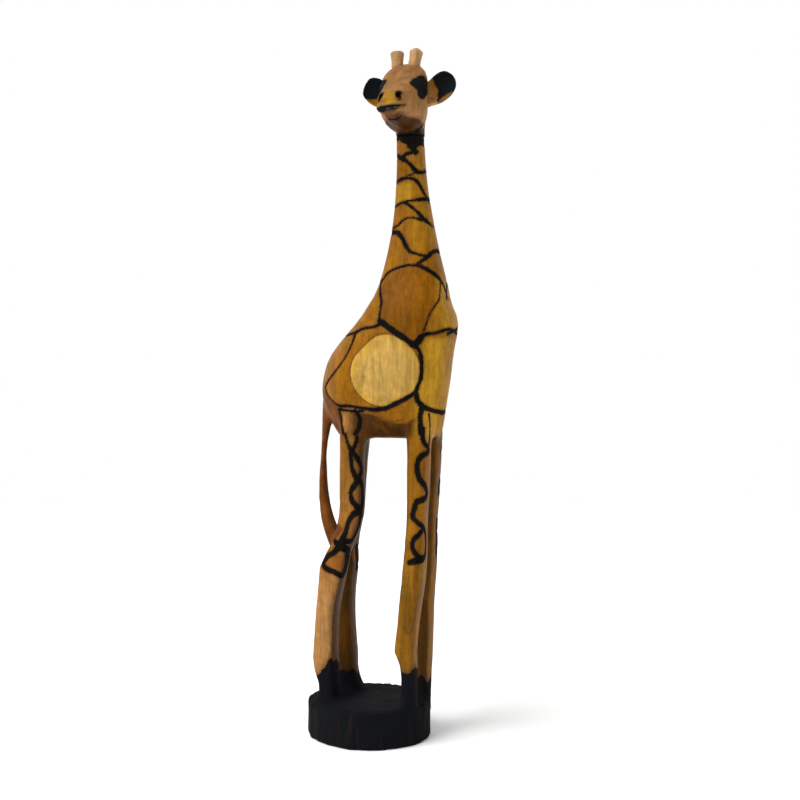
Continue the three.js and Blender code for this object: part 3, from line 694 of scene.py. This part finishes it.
def to_face(points):
    return np.column_stack([-points[:, 1], points[:, 0] - neck_x, points[:, 2] - collar_z])


EYE_PATCH = [((20, 19.5, 38.5), 8.6), ((26, 17, 38.5), 5.8), ((30.5, 14.5, 38.5), 2.6)]
EYE_PATCH += [((23, 19, 31.5), 5.2)]
# a dark strip from the right eye down the side of the muzzle, blackened like the burnt marks
RIGHT_DARK_STRIP = [((26, -16, 39), 7), ((31, -13.5, 33.5), 4.2), ((38, -11.5, 29), 2.6)]
NOSTRIL = [((46, 7.6, 26), 2.9), ((47, 7.8, 21.5), 2.8)]
# Lines are rows of points with their half widths.
MOUTH = [(45, 12, 16.8, 0.4), (48, 9.5, 15.9, 0.8), (50, 6, 15.4, 1), (51, 0, 15, 1)]
MOUTH += [(51, -5, 14.6, 1.3), (49, -9, 14.3, 1.2), (44, -13, 15, 0.8)]
LOWER_LIP = [(46, 11, 16, 0.4), (49.5, 6, 13.6, 0.6), (51, 0, 12.9, 0.7), (50, -6, 12.7, 1.1)]
LOWER_LIP += [(46, -10.5, 13.4, 0.7)]
CHIN = [(42, 10.5, 10.5, 0.5), (43, 7, 7.3, 0.9), (43.5, 1, 6, 0.9), (43, -6, 7, 0.5)]
NAPE_MARK = [(8, 8, -1, 3), (9, 10, 4, 2.8), (7, 13, 9, 1.8)]

CHIN_CUT = 3  # how far the chin is cut back under the lips
CHIN_NARROWING = 0.26
LIP_SWELL = 1.1
FACE_CUT_DEPTH = 0.3

# How near to the head a glued piece is drawn in, and how far past the surface it sinks, as a
# multiple of the gap.
GLUE_NEAR = 0.8
GLUE_FAR = 1.4
SEAT_SINK = 1.1


def face_burns(points):
    """How far each point of the head is outside the nearest burnt mark."""
    face = to_face(points)
    edge = face[:, 2] - 1.6 - 1.2 * rumble(points, 4, 43)
    patches = EYE_PATCH + NOSTRIL
    patches += [((out, -left, up), radius) for (out, left, up), radius in patches]
    for place, radius in patches + RIGHT_DARK_STRIP:
        edge = np.minimum(edge, np.linalg.norm(face - place, axis=1) - radius)
    lines = Strokes()
    for seed, line in enumerate([MOUTH, LOWER_LIP, CHIN, NAPE_MARK]):
        path = smooth_path(line, 0.4)
        lines.draw(path[:, :3], path[:, 3], seed)
    return np.minimum(edge, lines.edge(face))


def head_stain_and_light(points, normals):
    """The colour of the head's wood under the burning, with painted shade and a painted highlight."""
    out, left, up = to_face(points).T
    blotch = 0.5 + 0.5 * rumble(points, 16, 41)
    palette = Palette(len(points), FAWN)
    palette.paint(fade(up, 40, 58) * (0.25 + 0.5 * blotch), BRICK)
    palette.paint((1 - fade(up, 12, 34)) * 0.35, TAN)
    nose = fade(out, 38, 46) * fade(up, 15, 17.5) * (1 - fade(up, 27, 34))
    nose *= 1 - fade(np.abs(left - 0.5), 5, 8)
    palette.paint(nose * (0.8 + 0.2 * blotch), STRAW)
    lip = fade(out, 36, 44) * (1 - fade(up, 11.5, 13)) * fade(up, 6.5, 8.5)
    palette.paint(lip * 0.85, BRICK)
    # a painted highlight between the lips
    mouth_highlight = fade(out, 46, 49) * (1 - fade(np.abs(up - 14.2), 0.5, 1.3)) * (np.abs(left - 2) < 6)
    palette.paint(mouth_highlight * 0.9, LIP_HIGHLIGHT)
    # Painted shade under the jaw line and on the faces of the head turned down.
    jaw_line = np.interp(out, [-10, 5, 22, 30, 39, 42, 46], [4, 8, 10, 10.5, 10, 7, 5])
    jaw = 1 - fade(up - jaw_line, -1, 1.5)
    palette.paint(jaw * 0.95, JAW_SHADE)
    palette.paint(fade(-normals[:, 2], 0.35, 0.8) * (1 - fade(up, 14, 20)) * 0.8, UNDERSIDE_SHADE)
    return palette.colours


def make_head():
    """Makes the head and returns its skull, the surface that the ears and horns are set on."""
    head = Carving("head", "giraffe_head", HEAD_VOXEL)
    out, left, up = to_face(head.points).T
    clear = fade(np.hypot(out, left), 5, 8)  # 0 along the dowel's hole, which stays as drilled
    head.relax(clear, 26, swell=BULK_KEPT)
    head.relax(clear * 0.6 * fade(up, 1, 6), 5)
    burn_edge = face_burns(head.points)
    stain_and_painted_light = head_stain_and_light(head.points, head.normals())
    knife = scoops(head.points, 6, 5, head.voxel, stretch=1.2)
    # The chin is cut back and narrowed under the lips, which stand proud.
    chin = fade(out, 16, 36) * (1 - fade(up, 10, 14.5))
    lips = fade(out, 36, 46) * np.exp(-(((up - 15.8) / 2.2) ** 2))
    head.points[:, 0] -= CHIN_NARROWING * chin * left
    head.points[:, 1] += CHIN_CUT * chin
    head.push(LIP_SWELL * lips)
    distance = FACE_CUT_DEPTH * (knife - 0.4) + 0.12 * rumble(head.points, 8, 42)
    distance -= 0.15 * (1 - fade(burn_edge, -1.0, 0.3))
    head.push(distance * clear * fade(up, 0.5, 3))
    head.mark(burn_edge)
    head.stain_and_painted_light(stain_and_painted_light)
    skull = head.surface()
    head.finish(carved_wood("head_wood", 0.5, 0.15, BLUE_SHEEN_BLACK), "pale_wood")
    return skull


def seat(piece, skull):
    """Closes the hairline between a glued piece and the head, as the glue does.

    Points up to GLUE_NEAR away are drawn right in, and the pull dies out at GLUE_FAR.
    """
    for index, point in enumerate(piece.points.tolist()):
        near, _, _, reach = skull.find_nearest(point, GLUE_FAR)
        if near and reach > 0:
            pull = SEAT_SINK * (1 - max(reach - GLUE_NEAR, 0) / (GLUE_FAR - GLUE_NEAR))
            piece.points[index] += (np.array(near) - piece.points[index]) * pull


# ---- Ears and horns --------------------------------------------------------------------------

EAR_ROOT = (2, 17, 32)  # on the face, for the left ear
EAR_LEAN = math.radians(27)
EAR_CUT_DEPTH = 0.16
HORN_CUT_DEPTH = 0.22


def make_ear(node, side, skull):
    """An ear. The side is 1 for the left one and -1 for the right one."""
    ear = Carving(node, f"giraffe_{node}", SMALL_VOXEL)
    ear.relax(np.ones(len(ear.points)), 22, swell=BULK_KEPT)
    from_root = to_face(ear.points) - np.array(EAR_ROOT) * (1, side, 1)
    outward = from_root @ np.array([0, side * math.cos(EAR_LEAN), math.sin(EAR_LEAN)])
    rise = from_root @ np.array([0, -side * math.sin(EAR_LEAN), math.cos(EAR_LEAN)])
    ragged = 1.4 * rumble(ear.points, 6, 51)
    # Black over the outer part of the leaf, with its lower rim left brown.
    burn_edge = np.maximum(10.5 - outward + 0.25 * rise + ragged, -8.5 - rise + ragged)
    if side < 0:
        # The right ear also stays brown low down near its root.
        burn_edge = np.maximum(burn_edge, 11 - outward - 1.5 * np.minimum(rise, 0) + ragged)
    knife = scoops(ear.points, 5, 6, ear.voxel)
    ear.push(EAR_CUT_DEPTH * (knife - 0.4) + 0.1 * rumble(ear.points, 7, 52))
    seat(ear, skull)
    palette = Palette(len(ear.points), AMBER)
    palette.paint(1 - fade(outward, 2, 12), TAN)
    ear.mark(burn_edge)
    ear.stain_and_painted_light(palette.colours)
    ear.finish(carved_wood(f"{node}_wood", 0.6, 0.3, BLUE_SHEEN_BLACK), "ear_wood")


def make_horn(node, seed, skull):
    """A horn, with faint growth rings round it."""
    horn = Carving(node, f"giraffe_{node}", SMALL_VOXEL)
    horn.relax(np.ones(len(horn.points)), 14, swell=BULK_KEPT)
    knife = scoops(horn.points, 5, seed, horn.voxel, stretch=1.6)
    rings = np.sin(horn.points[:, 2] * 2.4 + rumble(horn.points, 9, seed))
    horn.push(HORN_CUT_DEPTH * (knife - 0.4) + 0.05 * rings)
    seat(horn, skull)
    z = horn.points[:, 2]
    top = z.max()
    palette = Palette(len(horn.points), HORN)
    palette.paint((1 - fade(z, top - 16, top - 8)) * 0.4, TAN)
    palette.paint(fade(z, top - 2.5, top - 0.5) * 0.4, FAWN)
    horn.mark()
    horn.stain_and_painted_light(palette.colours)
    horn.finish(carved_wood(f"{node}_wood", 0.7, 0.3), "horn_wood")


# ---- Materials -------------------------------------------------------------------------------

VARNISH_GLOSS = 0.045  # a thin, dull varnish


class Shader:
    """A material's node tree, built with short calls. Values may be numbers or other sockets."""

    def __init__(self, name):
        self.material = bpy.data.materials.new(name)
        self.material.use_nodes = True
        self.tree = self.material.node_tree
        self.tree.nodes.clear()

    def add(self, kind, sockets, **settings):
        node = self.tree.nodes.new(kind)
        for key, value in settings.items():
            setattr(node, key, value)
        for key, value in sockets.items():
            if isinstance(value, bpy.types.NodeSocket):
                self.tree.links.new(value, node.inputs[key])
            else:
                node.inputs[key].default_value = value
        return node

    def attribute(self, name, output="Fac"):
        return self.add("ShaderNodeAttribute", {}, attribute_name=name).outputs[output]

    def math(self, operation, a, b):
        return self.add("ShaderNodeMath", {0: a, 1: b}, operation=operation).outputs[0]

    def noise(self, where, scale, detail, warp=0.0):
        sockets = {"Vector": where, "Scale": scale, "Detail": detail, "Distortion": warp}
        return self.add("ShaderNodeTexNoise", sockets).outputs["Fac"]

    def grain(self, where, lengthwise, scale, detail, warp=0.0):
        """Noise that is drawn out along Z, so that it runs with the grain."""
        sockets = {"Vector": where, "Scale": (1, 1, lengthwise)}
        along_grain = self.add("ShaderNodeMapping", sockets).outputs[0]
        return self.noise(along_grain, scale, detail, warp)

    def span(self, value, low, high, to_low=0.0, to_high=1.0):
        """Eases from to_low, where the value is low, over to to_high, where it is high."""
        sockets = {"Value": value, "From Min": low, "From Max": high}
        sockets |= {"To Min": to_low, "To Max": to_high}
        node = self.add("ShaderNodeMapRange", sockets, interpolation_type="SMOOTHSTEP")
        return node.outputs["Result"]

    def mix(self, factor, a, b, blend="MIX"):
        sockets = {0: factor, 6: a, 7: b}
        node = self.add("ShaderNodeMix", sockets, data_type="RGBA", blend_type=blend)
        return node.outputs[2]

    def bump(self, value, distance, normal=None):
        sockets = {"Height": value, "Distance": distance * MM, "Strength": 1.0}
        if normal:
            sockets["Normal"] = normal
        return self.add("ShaderNodeBump", sockets).outputs[0]

    def finish(self, sockets):
        surface = self.add("ShaderNodeBsdfPrincipled", sockets).outputs[0]
        self.add("ShaderNodeOutputMaterial", {"Surface": surface})
        return self.material


def carved_wood(name, grain, ragged_edge, soot=SOOT):
    """Varnished wood with burnt lines, scorched edges and blackened feet.

    The grain is how strongly the fibres show, and ragged_edge is how far, in millimetres, the edge
    of the burning strays.
    """
    shader = Shader(name)
    where = shader.add("ShaderNodeTexCoord", {}).outputs["Object"]
    fibres = shader.grain(where, 0.05, 900, 5.0)
    bands = shader.grain(where, 0.09, 190, 3.0, 0.6)
    figure = shader.grain(where, 0.4, 48, 4.0, 1.2)
    mottle = shader.noise(where, 170, 4.0, 0.5)
    pores = shader.grain(where, 0.12, 2600, 2.0)
    ragged = shader.noise(where, 620, 4.0)

    stain_and_painted_light = shader.attribute("stain_and_painted_light", "Color")
    light = shader.span(fibres, 0.3, 0.7, 1 - 0.13 * grain, 1 + 0.12 * grain)
    light = shader.math("MULTIPLY", light, shader.span(bands, 0.3, 0.7, 1 - 0.18 * grain, 1.1))
    light = shader.math("MULTIPLY", light, shader.span(figure, 0.3, 0.72, 0.78, 1.14))
    light = shader.math("MULTIPLY", light, shader.span(mottle, 0.3, 0.7, 0.87, 1.1))
    light = shader.math("MULTIPLY", light, shader.span(pores, 0.6, 0.72, 1.0, 1 - 0.12 * grain))
    toned = shader.mix(1.0, stain_and_painted_light, light, "MULTIPLY")
    warm = shader.span(figure, 0.45, 0.75, 0.0, 0.22)
    toned = shader.mix(warm, toned, WARM_FIGURE)

    # The halo of a hot iron, then the burnt line itself. The distances are in millimetres.
    wobble = shader.span(ragged, 0.25, 0.75, -ragged_edge, ragged_edge)
    burn = shader.math("ADD", shader.attribute("burn_edge"), wobble)
    fine = shader.math("ADD", shader.attribute("fine_edge"), shader.math("MULTIPLY", wobble, 0.5))
    char = shader.math("ADD", shader.attribute("char_edge"), shader.math("MULTIPLY", wobble, 3.0))
    halo = shader.span(burn, 2.2, 0.0, 0.0, 0.6)
    toned = shader.mix(halo, toned, HALO_BROWN)
    toned = shader.mix(shader.span(fine, 0.5, -0.25, 0.0, 0.75), toned, SCRATCH_BROWN)
    burnt = shader.mix(shader.span(figure, 0.35, 0.7), soot, WARM_SOOT)
    line = shader.span(burn, 0.5, -0.2)
    toned = shader.mix(line, toned, burnt)
    scorch = shader.span(char, 8.0, 0.0, 0.0, 0.55)
    toned = shader.mix(scorch, toned, SCORCH_BROWN)
    black = shader.span(char, 0.8, -0.8)
    ember = shader.math("MULTIPLY", shader.span(bands, 0.5, 0.7), shader.span(figure, 0.4, 0.6))
    # The char is brown in places and elsewhere black with a painted blue sheen.
    charred = shader.mix(ember, CHAR_BLUE_SHEEN, CHAR_BROWN)
    toned = shader.mix(black, toned, charred)

    sooty = shader.math("MAXIMUM", line, black)
    varnish = shader.span(figure, 0.3, 0.7, 0.34, 0.44)
    varnish = shader.math("ADD", varnish, shader.span(pores, 0.45, 0.75, 0.0, 0.1))
    rough = shader.math("ADD", varnish, shader.math("MULTIPLY", sooty, 0.42))
    relief = shader.bump(fibres, 0.08 * grain + 0.02)
    relief = shader.bump(pores, 0.04, relief)
    crust = shader.math("MULTIPLY", ragged, sooty)
    relief = shader.bump(crust, 0.35, relief)

    sockets = {"Base Color": toned, "Roughness": rough, "Normal": relief}
    return shader.finish(sockets | {"Specular IOR Level": VARNISH_GLOSS})


def bare_peg():
    """Unfinished wood, for the dowel inside the neck."""
    shader = Shader("peg_wood")
    where = shader.add("ShaderNodeTexCoord", {}).outputs["Object"]
    fibres = shader.grain(where, 0.05, 1200, 4.0)
    tone = shader.mix(fibres, (0.42, 0.27, 0.13, 1), (0.62, 0.45, 0.26, 1))
    rough = shader.span(fibres, 0.3, 0.7, 0.6, 0.75)
    relief = shader.bump(fibres, 0.08)
    return shader.finish({"Base Color": tone, "Roughness": rough, "Normal": relief})


def pale_paper():
    """The studio floor."""
    shader = Shader("paper")
    where = shader.add("ShaderNodeTexCoord", {}).outputs["Object"]
    tooth = shader.noise(where, 300, 3.0)
    tone = shader.mix(tooth, (0.93, 0.93, 0.925, 1), (0.96, 0.96, 0.955, 1))
    relief = shader.bump(tooth, 0.1)
    return shader.finish({"Base Color": tone, "Roughness": 0.9, "Normal": relief})


# ---- The studio ------------------------------------------------------------------------------

# Places are in metres here, and the lens in millimetres.
CAMERA_TURN = math.radians(22)  # from the statue's right side towards its front
CAMERA_DISTANCE = 1.025
CAMERA_HEIGHT = 0.2963
CAMERA_SLIDE = 0.0272  # how far the level camera stands to its own right
CAMERA_LENS = 51.75
FLOOR_RADIUS = 2.4
WORLD_TOP = 0.3  # the brightness overhead, where the sides are 1


def around(turn, distance, z):
    """A place this far from the statue's axis, turned from -Y towards +X."""
    return Vector((distance * math.sin(turn), -distance * math.cos(turn), z))


def make_camera():
    lens = bpy.data.cameras.new("camera")
    lens.lens = CAMERA_LENS
    lens.sensor_width = 36
    camera = bpy.data.objects.new("camera", lens)
    right = Vector((math.cos(CAMERA_TURN), math.sin(CAMERA_TURN), 0))
    camera.location = around(CAMERA_TURN, CAMERA_DISTANCE, CAMERA_HEIGHT) + right * CAMERA_SLIDE
    camera.rotation_euler = (math.pi / 2, 0, CAMERA_TURN)
    scene.collection.objects.link(camera)
    scene.camera = camera


def make_sun(name, turn, lift, spread, strength):
    """A broad soft light, this many degrees to the right of the camera and above the floor."""
    light = bpy.data.lights.new(name, "SUN")
    light.angle = math.radians(spread)
    light.energy = strength
    lamp = bpy.data.objects.new(name, light)
    flat = math.cos(math.radians(lift))
    place = around(CAMERA_TURN + math.radians(turn), flat, math.sin(math.radians(lift)))
    lamp.location = place * 2
    lamp.rotation_euler = place.to_track_quat("Z", "Y").to_euler()
    scene.collection.objects.link(lamp)


def make_floor():
    """A wide round floor. It is as white as the world round it, so no horizon shows."""
    sides = 96
    corners = [(0.0, 0.0, 0.0)]
    for step in range(sides):
        angle = 2 * math.pi * step / sides
        corners.append((FLOOR_RADIUS * math.cos(angle), FLOOR_RADIUS * math.sin(angle), 0.0))
    faces = [(0, 1 + step, 1 + (step + 1) % sides) for step in range(sides)]
    mesh = bpy.data.meshes.new("floor")
    mesh.from_pydata(corners, [], faces)
    mesh.materials.append(pale_paper())
    floor = bpy.data.objects.new("floor", mesh)
    floor.location.z = cad_box[0].z
    scene.collection.objects.link(floor)


def make_world():
    """White all round as far up as a level camera sees, and dimmer overhead.

    The brightness falls between two heights on a sphere of radius 1.
    """
    world = bpy.data.worlds.new("studio")
    world.use_nodes = True
    tree = world.node_tree
    where = tree.nodes.new("ShaderNodeTexCoord").outputs["Generated"]
    axes = tree.nodes.new("ShaderNodeSeparateXYZ")
    tree.links.new(where, axes.inputs[0])
    fall = tree.nodes.new("ShaderNodeMapRange")
    fall.interpolation_type = "SMOOTHSTEP"
    spans = {"From Min": 0.36, "From Max": 0.62, "To Min": 1.0, "To Max": WORLD_TOP}
    for socket, value in spans.items():
        fall.inputs[socket].default_value = value
    tree.links.new(axes.outputs["Z"], fall.inputs[0])
    tree.links.new(fall.outputs[0], tree.nodes["Background"].inputs["Strength"])
    tree.nodes["Background"].inputs["Color"].default_value = (1, 1, 1, 1)
    scene.world = world
    scene.view_settings.view_transform = "Standard"


# ---- Making it -------------------------------------------------------------------------------

make_world()
make_floor()
make_sun("key", turn=-62, lift=50, spread=45, strength=3.3)
make_sun("back", turn=150, lift=55, spread=60, strength=0.7)
make_camera()

make_log()
skull = make_head()
make_ear("ear_left", 1, skull)
make_ear("ear_right", -1, skull)
make_horn("horn_left", 61, skull)
make_horn("horn_right", 62, skull)

# The dowel is out of sight, so its CAD mesh is shown as it is.
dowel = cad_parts["neck_dowel"]
dowel.data.materials.clear()
dowel.data.materials.append(bare_peg())
